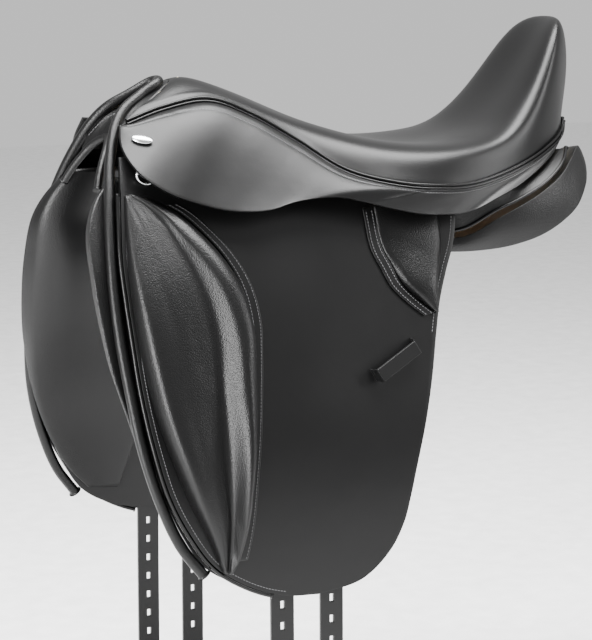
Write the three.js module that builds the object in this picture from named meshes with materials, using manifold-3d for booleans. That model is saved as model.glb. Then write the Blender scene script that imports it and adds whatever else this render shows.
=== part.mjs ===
// Dressage saddle, life size, in millimetres.
// +X runs from pommel to cantle, -Y is the horse's left (near) side, +Z is up.
// The origin lies on the centre line of the gullet, on the line of the horse's back.
import * as THREE from "three";
import Module from "manifold-3d";
import { mergeVertices } from "three/addons/utils/BufferGeometryUtils.js";

const wasm = await Module();
wasm.setup();

// ---------------------------------------------------------------- driving dimensions
const LEATHER = 3.5; // sweat flap and billets
const FLAP_THICKNESS = 4.5;
const SKIRT_THICKNESS = 4;
const BILLET_OFF = 5; // each layer's inner face, measured outwards from the body line
const FLAP_OFF = 10.5;
const PAD_OFF = FLAP_OFF + FLAP_THICKNESS + 0.6;
const FOLD_FRONT = [-238, 55]; // the flap folds outwards about this line, given in x and z
const FOLD_REAR = [125, 24];
const BILLETS = { front: -102, rear: -47 };
const BILLET_WIDTH = 25;
const BILLET_TOP_Z = -28;
const BILLET_END_Z = -520;
const HOLE_PITCH = 22;
const HOLE_COUNT = 8;
const LAST_HOLE_Z = -490;
const ROLL_RADIUS = 5.5;
const WELT_RADIUS = 2.2;
const PIPING_RADIUS = 1.7;
const GAP = 0.3;

// Half width of the body line at each height: narrow at the pommel, spreading down the horse's side.
const BODY_LINE = [[-560, 172], [-300, 169], [-199, 160], [-111, 134], [-28, 105], [55, 68], [114, 31],
  [152, 6]];

// ---------------------------------------------------------------- colours and finishes
const finish = (color, roughness, metalness = 0) => new THREE.MeshStandardMaterial({ color, roughness,
  metalness });
const MATERIALS = {
  smooth: finish(0x232326, 0.42),
  grain: finish(0x1b1b1d, 0.5),
  seat: finish(0x29292c, 0.36),
  lining: finish(0x151516, 0.6),
  foam: finish(0xd8d2bd, 0.9),
  wood: finish(0x9a7446, 0.6),
  web: finish(0xcfc4a8, 0.9),
  steel: finish(0xb9bcc0, 0.25, 1),
};

// ---------------------------------------------------------------- geometry helpers
const lerp = (a, b, t) => a + (b - a) * t;
const clamp01 = (t) => Math.min(1, Math.max(0, t));
const vec = (p) => new THREE.Vector3(...p);

// A smooth function through [position, value] pairs with rising positions.
function smooth(table) {
  return (x) => {
    const last = table.length - 2;
    let i = 0;
    while (i < last && x > table[i + 1][0]) i++;
    const slope = (a, b) => (table[b][1] - table[a][1]) / (table[b][0] - table[a][0]);
    const span = table[i + 1][0] - table[i][0];
    const t = clamp01((x - table[i][0]) / span);
    const m0 = slope(Math.max(0, i - 1), i + 1) * span;
    const m1 = slope(i, Math.min(last + 1, i + 2)) * span;
    const t2 = t * t;
    const t3 = t2 * t;
    return (2 * t3 - 3 * t2 + 1) * table[i][1] + (t3 - 2 * t2 + t) * m0
      + (3 * t2 - 2 * t3) * table[i + 1][1] + (t3 - t2) * m1;
  };
}

// A smooth curve through points, as a function of 0 to 1 along its length.
function along(points) {
  const curve = new THREE.CatmullRomCurve3(points.map((p) => (p.length === 2 ? vec([p[0],
    0, p[1]]) : vec(p))));
  curve.arcLengthDivisions = 400;
  return (t) => curve.getPointAt(clamp01(t));
}

const bodyLine = smooth(BODY_LINE);

// A point on the left side of the saddle, a distance outwards from the body line.
const onSide = (x, z, outwards) => new THREE.Vector3(x, -(bodyLine(z) + outwards), z);

// Geometry from vertices and triangles, closed and facing outwards.
function geometryOf(points, triangles) {
  const position = new Float32Array(points.flatMap((p) => [p.x, p.y, p.z]));
  let volume = 0;
  for (const [a, b, c] of triangles) volume += points[a].dot(points[b].clone().cross(points[c]));
  const index = triangles.flatMap(([a, b, c]) => (volume > 0 ? [a, b, c] : [a, c, b]));
  return new THREE.BufferGeometry().setAttribute("position", new THREE.BufferAttribute(position,
    3)).setIndex(index);
}

// A closed solid between two surfaces, each a function of (u, v) from 0 to 1, joined round their edges.
// Points that coincide are merged.
function between(outer, inner, nu, nv) {
  const points = [];
  const known = new Map();
  const id = (p) => {
    const key = [p.x, p.y, p.z].map((c) => Math.round(c * 200)).join();
    if (!known.has(key)) known.set(key, points.push(p) - 1);
    return known.get(key);
  };
  const rows = [outer, inner].map((face) =>
    Array.from({ length: nv + 1 }, (_, j) => Array.from({ length: nu + 1 }, (_, i) => id(face(i / nu,
      j / nv)))));
  const triangles = [];
  const quad = (a, b, c, d) => {
    for (const t of [[a, b, c], [a, c, d]]) if (new Set(t).size === 3) triangles.push(t);
  };
  const [top, under] = rows;
  for (let j = 0; j < nv; j++) {
    for (let i = 0; i < nu; i++) {
      quad(top[j][i], top[j][i + 1], top[j + 1][i + 1], top[j + 1][i]);
      quad(under[j][i], under[j + 1][i], under[j + 1][i + 1], under[j][i + 1]);
    }
    quad(top[j][0], top[j + 1][0], under[j + 1][0], under[j][0]);
    quad(top[j + 1][nu], top[j][nu], under[j][nu], under[j + 1][nu]);
  }
  for (let i = 0; i < nu; i++) {
    quad(top[0][i + 1], top[0][i], under[0][i], under[0][i + 1]);
    quad(top[nv][i], top[nv][i + 1], under[nv][i + 1], under[nv][i]);
  }
  return geometryOf(points, triangles);
}

// A closed tube along points.
function tube(points, radius, steps, sides = 8) {
  const section = new THREE.Shape(Array.from({ length: sides }, (_, i) => {
    const a = (2 * Math.PI * i) / sides;
    return new THREE.Vector2(radius * Math.cos(a), radius * Math.sin(a));
  }));
  const extrudePath = new THREE.CatmullRomCurve3(points);
  return new THREE.ExtrudeGeometry(section, { extrudePath, steps, bevelEnabled: false });
}

function extruded(outline, depth, holes = []) {
  const shape = new THREE.Shape(outline.map(([x, y]) => new THREE.Vector2(x, y)));
  shape.holes = holes.map((hole) => new THREE.Path(hole.map(([x, y]) => new THREE.Vector2(x, y))));
  return new THREE.ExtrudeGeometry(shape, { depth, bevelEnabled: false });
}

function solidOf(geometry) {
  const bare = geometry.clone();
  for (const name of ["normal", "uv"]) bare.deleteAttribute(name);
  const merged = mergeVertices(bare, 1e-3);
  return new wasm.Manifold(new wasm.Mesh({
    numProp: 3,
    vertProperties: new Float32Array(merged.attributes.position.array),
    triVerts: new Uint32Array(merged.index.array),
  }));
}

function geometryFrom(solid) {
  const mesh = solid.getMesh();
  return new THREE.BufferGeometry()
    .setAttribute("position", new THREE.BufferAttribute(new Float32Array(mesh.vertProperties), 3))
    .setIndex([...mesh.triVerts]);
}

const cut = (geometry, cutters) =>
  geometryFrom(cutters.reduce((solid, cutter) => solid.subtract(solidOf(cutter)), solidOf(geometry)));

// The same shape on the right side of the saddle.
function mirrored(geometry) {
  const copy = (geometry.index ? geometry.clone() : mergeVertices(geometry.clone(), 1e-4));
  copy.scale(1, -1, 1);
  const index = copy.index.array;
  for (let i = 0; i < index.length; i += 3) [index[i + 1], index[i + 2]] = [index[i + 2], index[i + 1]];
  return copy;
}

const saddle = new THREE.Group();

function add(name, geometry, material) {
  const mesh = new THREE.Mesh(geometry, material);
  mesh.name = name;
  saddle.add(mesh);
}

function addPair(name, geometry, material) {
  add(`left_${name}`, geometry, material);
  add(`right_${name}`, mirrored(geometry), material);
}

// ---------------------------------------------------------------- seat
// Stations from the pommel round to the back of the cantle: centre line, left shoulder and left welt.
const SEAT_STATIONS = [
  { centre: [-146, 156], shoulder: [-170, -22, 143], welt: [-209, -42, 118] },
  { centre: [-130, 160], shoulder: [-143, -24, 152], welt: [-168, -40, 131] },
  { centre: [-98, 149], shoulder: [-104, -28, 146], welt: [-120, -43, 138] },
  { centre: [-60, 133], shoulder: [-64, -36, 130], welt: [-76, -50, 122] },
  { centre: [-16, 113], shoulder: [-20, -50, 109], welt: [-30, -66, 94] },
  { centre: [30, 96], shoulder: [26, -72, 92], welt: [14, -90, 64] },
  { centre: [76, 83], shoulder: [70, -90, 83], welt: [64, -110, 50] },
  { centre: [120, 76], shoulder: [114, -101, 81], welt: [110, -116, 45.5] },
  { centre: [162, 79], shoulder: [158, -101, 83], welt: [152, -111, 46] },
  { centre: [204, 93], shoulder: [204, -92, 91], welt: [196, -100, 54] },
  { centre: [240, 122], shoulder: [238, -81, 120], welt: [236, -86, 65] },
  { centre: [272, 164], shoulder: [268, -67, 166], welt: [266, -70, 75] },
  { centre: [298, 206], shoulder: [291, -51, 202], welt: [290, -53, 84] },
  { centre: [312, 217], shoulder: [308, -36, 206], welt: [303, -40, 91] },
  { centre: [323, 190], shoulder: [320, -26, 180], welt: [311, -29, 99] },
  { centre: [326, 146], shoulder: [323, -19, 142], welt: [315, -22, 103] },
  { centre: [321, 112], shoulder: [320, -9, 110], welt: [317, -16, 105] },
];
const SEAT_GRID = [8, 19];
const CORE_REAR_X = 258; // the inner line stops short of the cantle's back wall
const CORE_DROP = 8; // the seat's layers shrink towards a line this far below the welts
const seatCurves = ["centre", "shoulder", "welt"].map((key) =>
  new THREE.CatmullRomCurve3(SEAT_STATIONS.map((s) => vec(s[key].length === 2 ? [s[key][0],
    0, s[key][1]] : s[key]))));
const acrossMirror = (p) => new THREE.Vector3(p.x, -p.y, p.z);

// The seat's upper surface. u runs from the left welt to the right welt, v from pommel to cantle back.
function seatSurface(u, v) {
  const [centre, shoulder, welt] = seatCurves.map((curve) => curve.getPoint(v));
  return new THREE.CatmullRomCurve3([welt, shoulder, centre, acrossMirror(shoulder),
    acrossMirror(welt)]).getPoint(u);
}

// The same surface moved a share of the way towards the line inside the seat.
const seatLayer = (share) => (u, v) => {
  const welt = seatCurves[2].getPoint(v);
  const middle = lerp(welt.x, seatCurves[0].getPoint(v).x, 0.5);
  const core = new THREE.Vector3(Math.min(middle, CORE_REAR_X), 0, welt.z - CORE_DROP);
  return seatSurface(u, v).lerp(core, share);
};

function buildSeat() {
  add("seat_cover", between(seatLayer(0), seatLayer(0.07), ...SEAT_GRID), MATERIALS.seat);
  add("seat_foam", between(seatLayer(0.08), seatLayer(0.36), ...SEAT_GRID), MATERIALS.foam);
  add("seat_webbing", between(seatLayer(0.38), seatLayer(0.42), ...SEAT_GRID), MATERIALS.web);
  add("tree", between(seatLayer(0.45), seatLayer(0.62), ...SEAT_GRID), MATERIALS.wood);
}

// A piping tube beside the seat's edge, from the pommel round the left side to the cantle.
function buildSeatWelt() {
  const points = Array.from({ length: 24 }, (_, i) => {
    const t = 0.02 + (0.84 * i) / 23;
    const tangent = seatCurves[2].getTangent(t);
    const out = new THREE.Vector3(tangent.y, -tangent.x, 0).normalize().multiplyScalar(WELT_RADIUS + 0.9);
    return seatCurves[2].getPoint(t).add(out);
  });
  addPair("seat_welt", tube(points, WELT_RADIUS, 28, 6), MATERIALS.smooth);
}

// ---------------------------------------------------------------- flaps
const foldZ = (x) => lerp(FOLD_FRONT[1], FOLD_REAR[1],
  (x - FOLD_FRONT[0]) / (FOLD_REAR[0] - FOLD_FRONT[0]));

const FLAP_FRONT = along([[-231, foldZ(-231)], [-236, 26], [-241, -10], [-242, -47], [-241, -94],
  [-239, -140],
  [-233, -186], [-221, -234], [-201, -275], [-176, -309], [-136, -335], [-100, -347], [-66, -350]]);
const FLAP_REAR = along([[138, foldZ(138)], [127, -13], [112, -42], [99, -71], [90, -100], [79, -139],
  [67, -177],
  [58, -205], [49, -234], [41, -263], [33, -288], [16, -316], [-16, -341], [-66, -350]]);

// A solid following the body line, between a front edge and a rear edge and between two offsets.
function sideSolid(frontEdge, rearEdge, innerOff, outerOff, nu, nv) {
  const at = (off) => (u, v) => {
    const p = frontEdge(v).lerp(rearEdge(v), u);
    return onSide(p.x, p.z, typeof off === "function" ? off(u, v) : off);
  };
  return between(at(outerOff), at(innerOff), nu, nv);
}

// The same edge moved sideways in x.
const shifted = (edge, dx, dz = 0) => (t) => edge(t).add(new THREE.Vector3(dx, 0, dz));

function buildFlap() {
  addPair("flap", sideSolid(FLAP_FRONT, FLAP_REAR, FLAP_OFF, FLAP_OFF + FLAP_THICKNESS, 3, 18),
    MATERIALS.smooth);
  const headTop = along([[-224, 84], [-190, 66], [-150, 56], [-110, 50]]);
  const headFoot = (t) => {
    const x = lerp(-229, -106, t);
    return new THREE.Vector3(x, 0, foldZ(x) + 1.2);
  };
  addPair("flap_head", sideSolid(headTop, headFoot, FLAP_OFF, FLAP_OFF + FLAP_THICKNESS, 2, 8),
    MATERIALS.smooth);
  const pipingPoints = Array.from({ length: 22 }, (_, i) => {
    const p = FLAP_FRONT(0.02 + (0.93 * i) / 21);
    const lead = FLAP_FRONT(0.02 + (0.93 * i) / 21 + 0.005).sub(p).normalize();
    const out = new THREE.Vector3(lead.z, 0, -lead.x).multiplyScalar(PIPING_RADIUS + 0.8);
    return onSide(p.x + out.x, p.z + out.z, FLAP_OFF + FLAP_THICKNESS / 2 + 0.4);
  });
  addPair("flap_piping", tube(pipingPoints, PIPING_RADIUS, 20, 6), MATERIALS.smooth);
}

const EDGE = 1.2; // thickness of the padded pieces at their stitched edges
const KNEE_FRONT = along([[-229, 49], [-234, 17], [-238, -20], [-239, -67], [-236, -113], [-229, -160],
  [-218, -199],
  [-202, -242], [-183, -282], [-170, -314]]);
const KNEE_REAR = along([[-221, 50], [-202, 44], [-178, 31], [-157, 11], [-138, -13], [-125, -41],
  [-120, -75],
  [-124, -113], [-133, -168], [-142, -224], [-149, -271], [-156, -300], [-163, -316]]);
const KNEE_HEIGHT = 38;
const kneeSection = smooth([[0, 0], [0.04, 0.5], [0.12, 0.62], [0.5, 0.54], [0.66, 0.6], [0.84, 1],
  [0.95, 0.72],
  [1, 0]]);
const kneeTaper = smooth([[0, 0.1], [0.1, 0.3], [0.3, 0.85], [0.5, 1], [0.8, 0.9], [1, 0.2]]);

function buildKneeBlock() {
  const height = (u, v) => PAD_OFF + EDGE + KNEE_HEIGHT * Math.max(0, kneeSection(u)) * kneeTaper(v);
  addPair("knee_block", sideSolid(KNEE_FRONT, KNEE_REAR, PAD_OFF, height, 10, 12), MATERIALS.grain);
  const lower = (edge) => (t) => edge(lerp(0.1, 0.97, t));
  const trimInner = shifted(lower(KNEE_REAR), 2);
  const trimOuter = shifted(lower(KNEE_REAR), 12);
  addPair("knee_block_trim", sideSolid(trimInner, trimOuter, PAD_OFF + GAP, PAD_OFF + 2.8, 1, 14),
    MATERIALS.smooth);
}

const THIGH_FRONT = along([[40, 27], [41, -12], [49, -33], [57, -51], [72, -67], [90, -82]]);
const THIGH_REAR = along([[112, 21], [112, -5], [107, -28], [99, -50], [96, -66], [94, -82]]);
const thighSection = smooth([[0, 0], [0.12, 0.75], [0.5, 1], [0.88, 0.75], [1, 0]]);
const thighTaper = smooth([[0, 0.3], [0.35, 0.4], [0.7, 1], [1, 0.3]]);

function buildThighPad() {
  const height = (u, v) => PAD_OFF + EDGE + 10 * Math.max(0, thighSection(u)) * thighTaper(v);
  addPair("thigh_pad", sideSolid(THIGH_FRONT, THIGH_REAR, PAD_OFF, height, 6, 8), MATERIALS.grain);
  const border = shifted(THIGH_FRONT, -14, -3);
  const inner = shifted(THIGH_FRONT, -1, -1);
  addPair("thigh_pad_border", sideSolid(border, inner, PAD_OFF, PAD_OFF + 2.2, 1, 8), MATERIALS.smooth);
}

const KEEPER_RISE = 10.5;

// A strap bridge with a slot beneath it for the spare end of a billet.
function buildKeeperLoop() {
  const lower = (t) => new THREE.Vector3(lerp(12, 64, t), 0, lerp(-144, -117, t));
  const upper = (t) => new THREE.Vector3(lerp(6, 58, t), 0, lerp(-132, -105, t));
  const rise = (thickness) => (u, v) => PAD_OFF + thickness + KEEPER_RISE * clamp01(Math.min(v,
    1 - v) * 14 - 0.9);
  addPair("keeper_loop", sideSolid(upper, lower, rise(0), rise(3), 1, 14), MATERIALS.smooth);
}

// ---------------------------------------------------------------- skirts
// Seam and hem from the front nose to the tail, in x and z; the hem stands clear of the flap.
const SKIRT_SEAM_START = 0.005;
const SKIRT_SEAM_END = 0.83;
const SKIRT_BULGE = 9;
const SKIRT_HEM = along([[-219, -50, 114], [-223, -65, 93], [-214, -93, 68], [-191, -105, 51],
  [-160, -110, 39],
  [-128, -116, 31], [-90, -120, 30], [-57, -118, 37], [-12, -118, 39], [17, -120, 33], [51, -123, 24],
  [80, -126, 18], [104, -127, 16], [140, -123, 17], [174, -117, 28], [210, -108, 41], [241, -93, 54],
  [270, -75, 68], [292, -55, 81], [302, -44, 88]]);

// A skirt face, u from front to rear and v from seam to hem, moved outwards from the inner face.
const skirtFace = (outwards) => (u, v) => {
  const seamShare = lerp(SKIRT_SEAM_START, SKIRT_SEAM_END, u);
  const p = seatCurves[2].getPoint(seamShare).add(vec([0, -1.2, -5.5])).lerp(SKIRT_HEM(u), v);
  const bulge = SKIRT_BULGE * Math.sin(Math.PI * Math.sqrt(v)) * Math.sqrt(Math.sin(Math.PI * clamp01(u * 2)));
  return new THREE.Vector3(p.x, p.y - bulge - outwards, p.z + bulge * 0.3 + outwards * 0.2);
};

function buildSkirt() {
  addPair("skirt", between(skirtFace(SKIRT_THICKNESS), skirtFace(0), 26, 3), MATERIALS.smooth);
}

// ---------------------------------------------------------------- panels and sweat flaps
const ROLL_CURVE = [[-161, -8, 152], [-182, -14, 140], [-203, -23, 127], [-217, -34, 110], [-230, -53, 80],
  [-240, -75, 44], [-248, -98, -2], [-252, -117, -48], [-252, -134, -95], [-249, -150, -141],
    [-243, -162, -188],
  [-230, -171, -238], [-211, -177, -284], [-188, -181, -316]];

function buildFrontRoll() {
  addPair("front_roll", tube(ROLL_CURVE.map(vec), ROLL_RADIUS, 22, 8), MATERIALS.grain);
}

const SWEAT_FRONT = along([[-226, 60], [-232, 40], [-239, 0], [-242, -47], [-243, -94], [-240, -141],
  [-235, -188], [-224, -236], [-205, -279], [-181, -313], [-140, -334], [-90, -342], [-60, -343]]);
const SWEAT_REAR = along([[92, 12], [88, -40], [78, -90], [64, -140], [50, -190], [36, -240], [22, -285],
  [0, -320], [-30, -338], [-60, -343]]);

const KNEE_PANEL_DEPTH = 36;
const KNEE_PANEL_CLEARANCE = 2.8; // behind the sweat flap, and more under the heads of the flaps
const KNEE_PANEL_HEAD_CLEARANCE = 6.5;
const KNEE_PANEL_HEAD = 0.24;
const kneePanelTaper = smooth([[0, 0.3], [0.12, 0.65], [0.27, 1], [0.45, 0.85], [0.6, 0.4], [0.75, 0.15],
  [1, 0.05]]);

function buildSweatFlap() {
  addPair("sweat_flap", sideSolid(SWEAT_FRONT, SWEAT_REAR, 0, LEATHER, 3, 16), MATERIALS.smooth);
  const front = along([[-231, 62], [-251, 42], [-265, 13], [-268, -32], [-267, -70], [-262, -118],
    [-254, -154],
    [-246, -185], [-236, -215], [-220, -252], [-200, -285], [-178, -308]]);
  const rear = along([[-160, 62], [-160, 4], [-118, -20], [-92, -60], [-92, -110], [-98, -160],
    [-108, -205],
    [-118, -245], [-130, -280], [-142, -312]]);
  const back = (u, v) =>
    -KNEE_PANEL_CLEARANCE - KNEE_PANEL_HEAD_CLEARANCE * (1 - clamp01(v / KNEE_PANEL_HEAD));
  const cushion = (u, v) =>
    back(u, v) - EDGE - KNEE_PANEL_DEPTH * Math.sin(Math.PI * u ** 0.6) ** 0.6 * kneePanelTaper(v);
  addPair("knee_panel", sideSolid(front, rear, cushion, back, 8, 12), MATERIALS.grain);
}

// Sections of the main panel from front to rear: upper outer, lower outer, lower inner and upper inner corners.
const PANEL_SECTIONS = [
  { x: -146, corners: [[-54, 62], [-89, 0], [-62, -2], [-32, 58]] },
  { x: -100, corners: [[-70, 38], [-90, 0], [-60, -8], [-34, 34]] },
  { x: -40, corners: [[-71, 36], [-90, 0], [-58, -10], [-36, 34]] },
  { x: 30, corners: [[-84, 14], [-93, -6], [-58, -14], [-38, 12]] },
  { x: 90, corners: [[-90, 0], [-97, -23], [-60, -20], [-36, -2]] },
  { x: 140, corners: [[-105, -12], [-103, -28], [-62, -22], [-36, -6]] },
  { x: 186, corners: [[-112, 8], [-105, -27], [-62, -18], [-34, 2]] },
  { x: 212, corners: [[-112, 19], [-107, -23], [-61, -13], [-33, 12]] },
  { x: 240, corners: [[-107, 31], [-106, -16], [-60, -8], [-32, 26]] },
  { x: 268, corners: [[-98, 46], [-102, -4], [-58, 2], [-32, 44]] },
  { x: 292, corners: [[-82, 63], [-96, 12], [-58, 16], [-34, 60]] },
  { x: 310, corners: [[-66, 74], [-84, 34], [-58, 36], [-40, 70]] },
  { x: 316, corners: [[-64, 68], [-76, 44], [-58, 44], [-46, 66]] },
];

function buildPanel() {
  const sectionCurves = [0, 1, 2, 3].map((k) =>
    new THREE.CatmullRomCurve3(PANEL_SECTIONS.map((s) => new THREE.Vector3(s.x, ...s.corners[k]))));
  const side = (upper, lower, bulge) => (u, v) => {
    const p = sectionCurves[upper].getPoint(v).lerp(sectionCurves[lower].getPoint(v), u);
    return p.add(new THREE.Vector3(0, bulge * Math.sin(Math.PI * u), 0));
  };
  addPair("panel", between(side(0, 1, 0), side(3, 2, 5), 4, 18), MATERIALS.grain);
}

// The filled strip between the panel's rear half and the seat, and the way that it thickens inwards.
const GUSSET_DEPTH = 9;
const GUSSET_INWARDS = vec([-0.3, 0.8, -0.4]);
function buildRearGusset() {
  const lower = along([[145, -106, -3], [179, -110, 14], [210, -109, 25], [245, -102, 40], [275, -88, 58],
    [292, -69, 72]]);
  const upper = along([[144, -107, 24], [178, -106, 32], [210, -99, 39], [243, -87, 50], [267, -74, 62],
    [283, -60, 71]]);
  const face = (inwards) => (u, v) => {
    const p = lower(v).lerp(upper(v), u);
    return new THREE.Vector3(p.x + inwards * GUSSET_INWARDS.x * v, p.y + inwards * GUSSET_INWARDS.y,
      p.z + inwards * GUSSET_INWARDS.z);
  };
  addPair("rear_gusset", between(face(0), face(GUSSET_DEPTH), 2, 14), MATERIALS.grain);
}

// ---------------------------------------------------------------- pommel and gullet
const GULLET_FOOT_Z = 72;

// A half-elliptical arch over the gullet between two x positions.
function arch(width, height, thickness, xFront, xRear) {
  const steps = 16;
  const ring = (a, b) => Array.from({ length: steps + 1 }, (_, i) => {
    const angle = (Math.PI * i) / steps;
    return [a * Math.cos(angle), b * Math.sin(angle)];
  });
  const outline = [...ring(width, height), ...ring(width - thickness, height - thickness).reverse()];
  const geometry = extruded(outline, xRear - xFront);
  geometry.applyMatrix4(new THREE.Matrix4().makeBasis(vec([0, 1, 0]), vec([0, 0, 1]), vec([1, 0, 0])));
  return geometry.translate(xFront, 0, GULLET_FOOT_Z);
}

const INNER_ROLL_RADIUS = 4;

// The bound edge of the gullet lining, from low on the left up to the centre line.
const INNER_ROLL_CURVE = [[-242, -48, 50], [-238, -42, 60], [-232, -34, 72], [-219, -17, 92],
  [-213, 0, 98]];

// A point on the way from a tube's centre line to a target, just outside the tube.
function besideTube(curve, t, target, clearance) {
  const from = curve(t);
  const tangent = curve(t + 0.01).sub(curve(t - 0.01)).normalize();
  const way = target.clone().sub(from).normalize();
  return from.addScaledVector(way, clearance / Math.sqrt(1 - way.dot(tangent) ** 2));
}

function buildPommel() {
  add("gullet_plate", arch(44, 50, 4, -150, -116), MATERIALS.steel);
  add("gullet_lining", arch(39.5, 45.5, 2.5, -156, -84), MATERIALS.lining);
  const innerRoll = [...INNER_ROLL_CURVE, ...INNER_ROLL_CURVE.slice(0, -1).reverse().map(([x, y,
    z]) => [x, -y, z])];
  add("inner_roll", tube(innerRoll.map(vec), INNER_ROLL_RADIUS, 24, 6), MATERIALS.grain);
  const outerTop = along([...ROLL_CURVE.slice(0, 4).reverse(), [-156, 0, 154],
    ...ROLL_CURVE.slice(0, 4).map(([x, y, z]) => [x, -y, z])]);
  const innerTop = along(innerRoll.slice(2, -2));
  const facing = (depth) => (u, v) => {
    const outer = besideTube(outerTop, u, innerTop(u), ROLL_RADIUS + 2.4);
    const inner = besideTube(innerTop, u, outerTop(u), INNER_ROLL_RADIUS + 1);
    return outer.lerp(inner, v).add(vec([depth * 0.7, 0, -depth * 0.7]));
  };
  add("front_facing", between(facing(0), facing(3), 14, 2), MATERIALS.grain);
}

// ---------------------------------------------------------------- stirrup bars
const BAR_Z = [46, 58];
const RAIL = { x: [-98, -8], y: [-62, -50], z: [42, 60] };
const BAR_PLATE_Y = RAIL.y[0] - GAP;
const BAR_BLADE_Y = [-97, -92];
const BAR_X = [-95, -24];
const CATCH_PIVOT = [-20.3, 51];
const CATCH_RADIUS = 3;
const CATCH_LENGTH = 9;

const boxBetween = (x, y, z) =>
  extruded([[x[0], y[0]], [x[1], y[0]], [x[1], y[1]], [x[0], y[1]]], z[1] - z[0]).translate(0, 0, z[0]);

// A shape drawn in x and z, standing between two y positions.
function upright(outline, y) {
  const geometry = extruded(outline, y[1] - y[0]);
  return geometry.rotateX(Math.PI / 2).translate(0, y[1], 0);
}

function buildStirrupBar() {
  addPair("tree_rail", boxBetween(RAIL.x, RAIL.y, RAIL.z), MATERIALS.wood);
  const [inner, outer] = [BAR_PLATE_Y, BAR_BLADE_Y[0]];
  const outline = [[BAR_X[0], inner], [BAR_X[0], outer], [BAR_X[1], outer], [BAR_X[1], BAR_BLADE_Y[1]],
    [BAR_X[0] + 12, BAR_BLADE_Y[1]], [BAR_X[0] + 12, inner - 4], [-16, inner - 4], [-16, inner]];
  addPair("stirrup_bar", extruded(outline, BAR_Z[1] - BAR_Z[0]).translate(0, 0, BAR_Z[0]), MATERIALS.steel);
  const tongue = Array.from({ length: 7 }, (_, i) => {
    const a = Math.PI + (Math.PI * i) / 6;
    return [CATCH_PIVOT[0] + CATCH_RADIUS * Math.cos(a), CATCH_PIVOT[1] + CATCH_RADIUS * Math.sin(a)];
  });
  tongue.push([CATCH_PIVOT[0] + CATCH_RADIUS, CATCH_PIVOT[1] + CATCH_LENGTH]);
  tongue.push([CATCH_PIVOT[0] - CATCH_RADIUS, CATCH_PIVOT[1] + CATCH_LENGTH]);
  addPair("bar_catch", upright(tongue, BAR_BLADE_Y), MATERIALS.steel);
}

// ---------------------------------------------------------------- billets
function buildBillets() {
  const strap = (x, topZ, endZ, rows) => {
    const edge = (side) => (t) => new THREE.Vector3(x + side * (BILLET_WIDTH / 2), 0, lerp(topZ, endZ, t));
    return sideSolid(edge(-1), edge(1), BILLET_OFF, BILLET_OFF + LEATHER, 1, rows);
  };
  const web = (t) => new THREE.Vector3(lerp(BILLETS.front - 15, BILLETS.rear + 15, t), 0, 34);
  const webFoot = (t) => web(t).setZ(BILLET_TOP_Z + 3);
  addPair("girth_web", sideSolid(web, webFoot, BILLET_OFF, BILLET_OFF + LEATHER, 5, 1), MATERIALS.web);
  for (const [name, x] of Object.entries(BILLETS)) {
    const holes = Array.from({ length: HOLE_COUNT }, (_, i) => {
      const z = LAST_HOLE_Z + HOLE_PITCH * i;
      return upright([[x - 2.4, z - 4.2], [x + 2.4, z - 4.2], [x + 2.4, z + 4.2], [x - 2.4, z + 4.2]],
        [-220, -120]);
    });
    addPair(`${name}_billet`, cut(strap(x, BILLET_TOP_Z, BILLET_END_Z, 12), holes), MATERIALS.smooth);
  }
}

// ---------------------------------------------------------------- front D-rings and studs
const RING = { x: -203, y: -83.4, z: 71, halfWidth: 11, drop: 12.5, radius: 1.4 };

// A closed tube along a closed loop of points lying in a plane of constant y.
function loopTube(loop, radius, sides = 6) {
  const points = [];
  const triangles = [];
  const at = (i, k) => (i % loop.length) * sides + (k % sides);
  loop.forEach((p, i) => {
    const tangent = loop[(i + 1) % loop.length].clone().sub(loop[(i +
      loop.length - 1) % loop.length]).normalize();
    const normal = new THREE.Vector3(-tangent.z, 0, tangent.x);
    for (let k = 0; k < sides; k++) {
      const a = (2 * Math.PI * k) / sides;
      points.push(p.clone().addScaledVector(normal, radius * Math.cos(a)).add(vec([0,
        radius * Math.sin(a), 0])));
      triangles.push([at(i, k), at(i + 1, k), at(i + 1, k + 1)], [at(i, k), at(i + 1, k + 1),
        at(i, k + 1)]);
    }
  });
  return geometryOf(points, triangles);
}

function buildFrontRing() {
  const half = RING.halfWidth;
  const bow = Array.from({ length: 9 }, (_, i) => {
    const a = (Math.PI * i) / 8;
    return new THREE.Vector3(RING.x - half * Math.cos(a),
      RING.y, RING.z - 3 - (RING.drop - 3) * Math.sin(a));
  });
  const bar = [half - 2, -(half - 2)].map((dx) => new THREE.Vector3(RING.x + dx, RING.y, RING.z));
  addPair("d_ring", loopTube([...bow, ...bar], RING.radius), MATERIALS.steel);
  const tab = [[-80.6, 68.2], [-86.2, 68.2], [-86.2, 73.8], [-80.6, 73.8]];
  const eye = Array.from({ length: 8 }, (_, i) => {
    const a = (2 * Math.PI * i) / 8;
    return [RING.y + 2 * Math.cos(a), RING.z + 2 * Math.sin(a)];
  });
  const geometry = extruded(tab, 10, [eye]);
  geometry.applyMatrix4(new THREE.Matrix4().makeBasis(vec([0, 1, 0]), vec([0, 0, 1]), vec([1, 0, 0])));
  addPair("d_ring_tab", geometry.translate(RING.x - 5, 0, 0), MATERIALS.smooth);
}

const STUD = { place: [0.065, 0.64], halfSize: [11, 2, 5], tilt: 0.42, clearance: 0.6 };

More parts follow.
